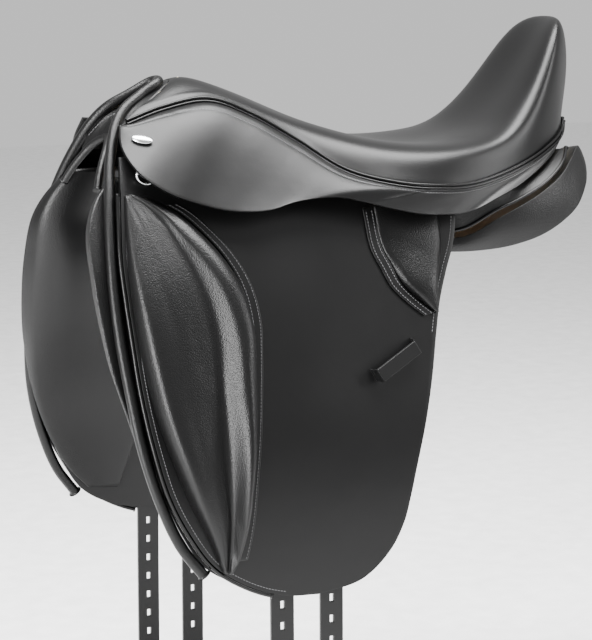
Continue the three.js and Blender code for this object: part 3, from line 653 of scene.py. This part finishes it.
def build_skirt(name, side):
    skirt = between(f"{name}_skirt_leather", skirt_sheet(SKIRT_THICKNESS, 0.9), skirt_sheet(0), 220, 44, side)
    soften(skirt, 1.3, 3, 50)
    place(skirt, "smooth", "saddle", f"{name}_skirt")
    face = skirt_sheet(SKIRT_THICKNESS - 0.5)
    track = []
    for u in np.linspace(0.01, 0.985, 500):
        depth = np.linalg.norm(face(u, 1) - face(u, 0))
        track.append(face(u, min(0.7, SKIRT_SEAM_DEPTH / depth)))
    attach(stitches(f"{name}_skirt_stitches", track, side, sink=0.1), "saddle")


# ---------------------------------------------------------------- panels and sweat flaps
ROLL_CURVE = [(-161, -8, 152), (-182, -14, 140), (-203, -23, 127), (-217, -34, 110), (-230, -53, 80),
              (-240, -75, 44), (-248, -98, -2), (-252, -117, -48), (-252, -134, -95), (-249, -150, -141),
              (-243, -162, -188), (-230, -171, -238), (-211, -177, -284), (-188, -181, -316)]
INNER_ROLL_CURVE = [(-242, -48, 50), (-238, -42, 60), (-232, -34, 72), (-219, -17, 92), (-213, 0, 98)]
SWEAT_FRONT = along([(-226, 60), (-232, 40), (-239, 0), (-242, -47), (-243, -94), (-240, -141),
                     (-235, -188), (-224, -236), (-205, -279), (-181, -313), (-140, -334), (-90, -342),
                     (-60, -343)])
SWEAT_REAR = along([(92, 12), (88, -40), (78, -90), (64, -140), (50, -190), (36, -240), (22, -285),
                    (0, -320), (-30, -338), (-60, -343)])
KNEE_PANEL_FRONT = along([(-231, 62), (-251, 42), (-265, 13), (-268, -32), (-267, -70), (-262, -118),
    (-254, -154), (-246, -185), (-236, -215), (-220, -252), (-200, -285), (-178, -308)])
KNEE_PANEL_REAR = along([(-160, 62), (-160, 4), (-118, -20), (-92, -60), (-92, -110), (-98, -160),
                         (-108, -205), (-118, -245), (-130, -280), (-142, -312)])
KNEE_PANEL_DEPTH = 36
KNEE_PANEL_BAND = 24
KNEE_PANEL_CLEARANCE = 2.8
KNEE_PANEL_HEAD_CLEARANCE = 6.5
KNEE_PANEL_HEAD = 0.24
KNEE_PANEL_TRACK = [KNEE_PANEL_FRONT(t) for t in np.linspace(0, 1, 80)]
KNEE_PANEL_DROP = [-p[2] for p in KNEE_PANEL_TRACK]
KNEE_PANEL_REACH = [p[0] for p in KNEE_PANEL_TRACK]
knee_panel_taper = smooth([(0, 0.3), (0.12, 0.65), (0.27, 1), (0.45, 0.85), (0.6, 0.4), (0.75, 0.15),
    (1, 0.05)])
PANEL_SECTIONS = [
    (-146, (-54, 62), (-89, 0), (-62, -2), (-32, 58)),
    (-100, (-70, 38), (-90, 0), (-60, -8), (-34, 34)),
    (-40, (-71, 36), (-90, 0), (-58, -10), (-36, 34)),
    (30, (-84, 14), (-93, -6), (-58, -14), (-38, 12)),
    (90, (-90, 0), (-97, -23), (-60, -20), (-36, -2)),
    (140, (-105, -12), (-103, -28), (-62, -22), (-36, -6)),
    (186, (-112, 8), (-105, -27), (-62, -18), (-34, 2)),
    (212, (-112, 19), (-107, -23), (-61, -13), (-33, 12)),
    (240, (-107, 31), (-106, -16), (-60, -8), (-32, 26)),
    (268, (-98, 46), (-102, -4), (-58, 2), (-32, 44)),
    (292, (-82, 63), (-96, 12), (-58, 16), (-34, 60)),
    (310, (-66, 74), (-84, 34), (-58, 36), (-40, 70)),
    (316, (-64, 68), (-76, 44), (-58, 44), (-46, 66)),
]
GUSSET_DEPTH = 9
GUSSET_LOWER = along([(122, -95, -8), (145, -105.5, -3), (179, -110, 14), (210, -109, 25), (245, -102, 40),
                      (275, -88, 58), (292, -69, 72)])
GUSSET_UPPER = along([(122, -95, 30), (144, -107, 28), (178, -106, 32), (210, -99, 39), (243, -87, 50),
                      (267, -74, 62), (283, -60, 71)])


def build_nose_strip():
    """The smooth leather between the roll over the pommel and the front edge of the seat."""
    near = [(-222, -42, 100)] + ROLL_CURVE[3:0:-1] + ROLL_CURVE[:1]
    roll = along(near + [(-157, 0, 153.5)] + [(x, -y, z) for x, y, z in near[::-1]])
    seat = seat_layer(0.06)

    def face(depth):
        def point(u, v):
            p = mix(seat(u, 0.012), roll(mix(0.06, 0.94, u)) + (0, 0, -1.5), v)
            return p + (depth * 0.5, 0, -depth)
        return point

    strip = between("nose_strip", face(0), face(3), 60, 8)
    place(strip, "seat", "saddle")


def build_front_roll():
    over = [(-157, 0, 153.5)]
    curve = along(ROLL_CURVE[::-1] + over + [(x, -y, z) for x, y, z in ROLL_CURVE])
    roll = tube("pommel_roll", [curve(t) for t in np.linspace(0, 1, 520)], ROLL_RADIUS, 1, 20)
    place(roll, "grain", "saddle", "left_front_roll", "right_front_roll")


def build_sweat_flap(name, side):
    flap = side_solid(f"{name}_sweat_flap_leather", SWEAT_FRONT, SWEAT_REAR, 0, LEATHER, 40, 120, side)
    soften(flap, 1.2, 3, 50)
    place(flap, "smooth", "saddle", f"{name}_sweat_flap")
    back = lambda u, v: -KNEE_PANEL_CLEARANCE - KNEE_PANEL_HEAD_CLEARANCE * (1 - min(1, v / KNEE_PANEL_HEAD))
    cushion = lambda u, v: back(u, v) - EDGE - (KNEE_PANEL_DEPTH * max(0, math.sin(math.pi * u**0.6)) ** 0.6
                                                * knee_panel_taper(v))
    pad = side_solid(f"{name}_padded_knee_panel", KNEE_PANEL_FRONT, KNEE_PANEL_REAR, cushion, back, 44, 80,
                     side)
    place(pad, "grain", "saddle", f"{name}_knee_panel")
    pad.data.materials.append(MATERIALS["smooth"])
    for polygon in pad.data.polygons:
        x, _, z = polygon.center / MM
        polygon.material_index = int(x > np.interp(-z, KNEE_PANEL_DROP, KNEE_PANEL_REACH) + KNEE_PANEL_BAND)


def build_panel(name, side):
    corners = [spline([(s[0], *s[k]) for s in PANEL_SECTIONS]) for k in (1, 2, 3, 4)]

    def face(upper, lower, bulge):
        def point(u, v):
            p = mix(corners[upper](v), corners[lower](v), u)
            return p + (0, bulge * math.sin(math.pi * u), 0)
        return point

    panel = between(f"{name}_padded_panel", face(0, 1, -2.5), face(3, 2, 5), 14, 130, side)
    soften(panel, 9, 5, 40)
    place(panel, "grain", "saddle", f"{name}_panel")

    def strip(inwards):
        def point(u, v):
            p = mix(GUSSET_LOWER(v), GUSSET_UPPER(v), u)
            return p + (-inwards * 0.3 * v, inwards * 0.8, -inwards * 0.4)
        return point

    gusset = between(f"{name}_padded_gusset", strip(0), strip(GUSSET_DEPTH), 10, 60, side)
    soften(gusset, 3, 3, 40)
    place(gusset, "grain", "saddle", f"{name}_rear_gusset")
    track = [GUSSET_LOWER(t) + (0, -1.0, 0.5) for t in np.linspace(0, 1, 140)]
    place(tube(f"{name}_gusset_piping", track, 1.8, side), "binding", "saddle")


# ---------------------------------------------------------------- pommel
def beside_tube(curve, t, target, clearance):
    start = curve(t)
    tangent = curve(t + 0.01) - curve(t - 0.01)
    tangent /= np.linalg.norm(tangent)
    way = (target - start) / np.linalg.norm(target - start)
    return start + way * clearance / math.sqrt(1 - way.dot(tangent) ** 2)


def build_pommel():
    inner = INNER_ROLL_CURVE + [(x, -y, z) for x, y, z in INNER_ROLL_CURVE[-2::-1]]
    curve = along(inner)
    roll = tube("gullet_roll", [curve(t) for t in np.linspace(0, 1, 160)], INNER_ROLL_RADIUS, 1, 16)
    place(roll, "grain", "saddle", "inner_roll")
    outer_top = along(ROLL_CURVE[3::-1] + [(-156, 0, 154)] + [(x, -y, z) for x, y, z in ROLL_CURVE[:4]])
    inner_top = along(inner[2:-2])

    def facing(depth):
        def point(u, v):
            outer = beside_tube(outer_top, u, inner_top(u), ROLL_RADIUS + 1)
            lower = beside_tube(inner_top, u, outer_top(u), INNER_ROLL_RADIUS + 1)
            return mix(outer, lower, v) + (depth * 0.7, 0, -depth * 0.7)
        return point

    sheet = between("pommel_facing", facing(0), facing(3), 60, 10)
    place(sheet, "grain", "saddle", "front_facing")
    track = [facing(-0.2)(u, 0.25) for u in np.linspace(0.02, 0.98, 200)]
    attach(stitches("pommel_stitches", track), "saddle")


# ---------------------------------------------------------------- fittings
def build_fittings(name, side):
    """The oval stud and the D-ring, round where the CAD has flat facets."""
    face = skirt_sheet(SKIRT_THICKNESS)
    seat = face(*STUD_PLACE)
    along_skirt, down_skirt = STUD_PLACE
    outwards = np.cross(face(along_skirt, down_skirt + 0.01) - seat,
                        face(along_skirt + 0.01, down_skirt) - seat)
    outwards /= np.linalg.norm(outwards)
    turn = Vector((0, -1, 0)).rotation_difference(Vector(outwards))
    long, thick, short = STUD_HALF_SIZE
    points, faces = [], []
    for ring in range(17):
        for k in range(32):
            a, b = math.pi * ring / 16, 2 * math.pi * k / 32
            ball = Vector((math.sin(a) * math.cos(b) * long, -math.cos(a) * thick,
                           math.sin(a) * math.sin(b) * short))
            tilted = Vector((ball.x * math.cos(STUD_TILT) + ball.z * math.sin(STUD_TILT), ball.y,
                             ball.z * math.cos(STUD_TILT) - ball.x * math.sin(STUD_TILT)))
            points.append(np.array(turn @ tilted) + seat + outwards * STUD_STAND_OFF)
            if ring < 16:
                this, after = ring * 32, ring * 32 + 32
                faces.append((this + k, this + (k + 1) % 32, after + (k + 1) % 32, after + k))
    stud = mesh_object(f"{name}_oval_stud", points, faces, side)
    recalculate_normals(stud)
    place(stud, "steel", "saddle", f"{name}_skirt_stud")
    bow = [(RING_X - 11 * math.cos(a), RING_Y, RING_Z - 3 - 9.5 * math.sin(a))
           for a in np.linspace(0, math.pi, 40)]
    bar = [(RING_X + x, RING_Y, RING_Z) for x in np.linspace(9.5, -9.5, 12)]
    ring = tube(f"{name}_ring", bow + bar, 1.4, side, 14, True)
    place(ring, "steel", f"{name}_d_ring_body", f"{name}_d_ring")


# ---------------------------------------------------------------- everything
FINISH_OF_NODES = {
    "seat_foam": "foam", "seat_webbing": "web", "tree": "wood", "gullet_plate": "steel",
    "gullet_lining": "lining", "tree_rail": "wood", "stirrup_bar": "steel", "bar_catch": "steel",
    "girth_web": "web", "front_billet": "smooth", "rear_billet": "smooth", "d_ring": "steel",
    "d_ring_tab": "smooth", "skirt_stud": "steel",
}


def finish_cad_nodes():
    """The hard and hidden pieces stay as the CAD has them and only get their finishes."""
    for name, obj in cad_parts.items():
        kind = name.removeprefix("left_").removeprefix("right_")
        finish = MATERIALS[FINISH_OF_NODES.get(kind, "smooth")]
        if obj.data.materials:
            obj.data.materials[0] = finish
        else:
            obj.data.materials.append(finish)


def build_saddle():
    build_seat()
    build_pommel()
    build_front_roll()
    build_nose_strip()
    for name, side in SIDES.items():
        build_welts(name, side)
        build_flap(name, side)
        build_knee_block(name, side)
        build_thigh_pad(name, side)
        build_keeper(name, side)
        build_skirt(name, side)
        build_sweat_flap(name, side)
        build_panel(name, side)
        build_fittings(name, side)
    finish_cad_nodes()


# ---------------------------------------------------------------- studio
FLOOR_Z = -0.60
CAMERA_TARGET = Vector((0, 0, -0.106))
CAMERA_AZIMUTH = math.radians(-26)
CAMERA_ELEVATION = math.radians(10)
CAMERA_DISTANCE = 2.3
CAMERA_LENS = 120.9


def add_light(name, place, target, size, power):
    data = bpy.data.lights.new(name, "AREA")
    data.shape = "RECTANGLE"
    data.size, data.size_y = size
    data.energy = power
    light = bpy.data.objects.new(name, data)
    light.location = place
    light.rotation_euler = (Vector(target) - Vector(place)).to_track_quat("-Z", "Y").to_euler()
    bpy.context.collection.objects.link(light)


def build_studio():
    bpy.ops.mesh.primitive_plane_add(size=14, location=(0, 0, FLOOR_Z))
    floor = bpy.context.object
    floor.name = "floor"
    floor.data.materials.append(MATERIALS["floor"])
    world = bpy.data.worlds.new("studio")
    bpy.context.scene.world = world
    world.use_nodes = True
    world.node_tree.nodes["Background"].inputs["Color"].default_value = (1, 1, 1, 1)
    world.node_tree.nodes["Background"].inputs["Strength"].default_value = 0.75
    add_light("overhead", (0.0, -0.2, 1.7), (0.05, 0, 0), (2.1, 1.0), 235)
    add_light("front_strip", (-2.0, -0.8, 0.1), (-0.1, 0, -0.1), (0.6, 1.7), 135)
    add_light("rear_strip", (1.7, -1.1, 0.6), (0.2, 0, 0), (0.3, 1.2), 26)
    data = bpy.data.cameras.new("camera")
    data.lens = CAMERA_LENS
    data.sensor_width = 36
    camera = bpy.data.objects.new("camera", data)
    back = Vector((math.sin(CAMERA_AZIMUTH) * math.cos(CAMERA_ELEVATION),
                   -math.cos(CAMERA_AZIMUTH) * math.cos(CAMERA_ELEVATION), math.sin(CAMERA_ELEVATION)))
    camera.location = CAMERA_TARGET + back * CAMERA_DISTANCE
    camera.rotation_euler = (-back).to_track_quat("-Z", "Y").to_euler()
    bpy.context.collection.objects.link(camera)
    bpy.context.scene.camera = camera


build_saddle()
build_studio()
write_size()
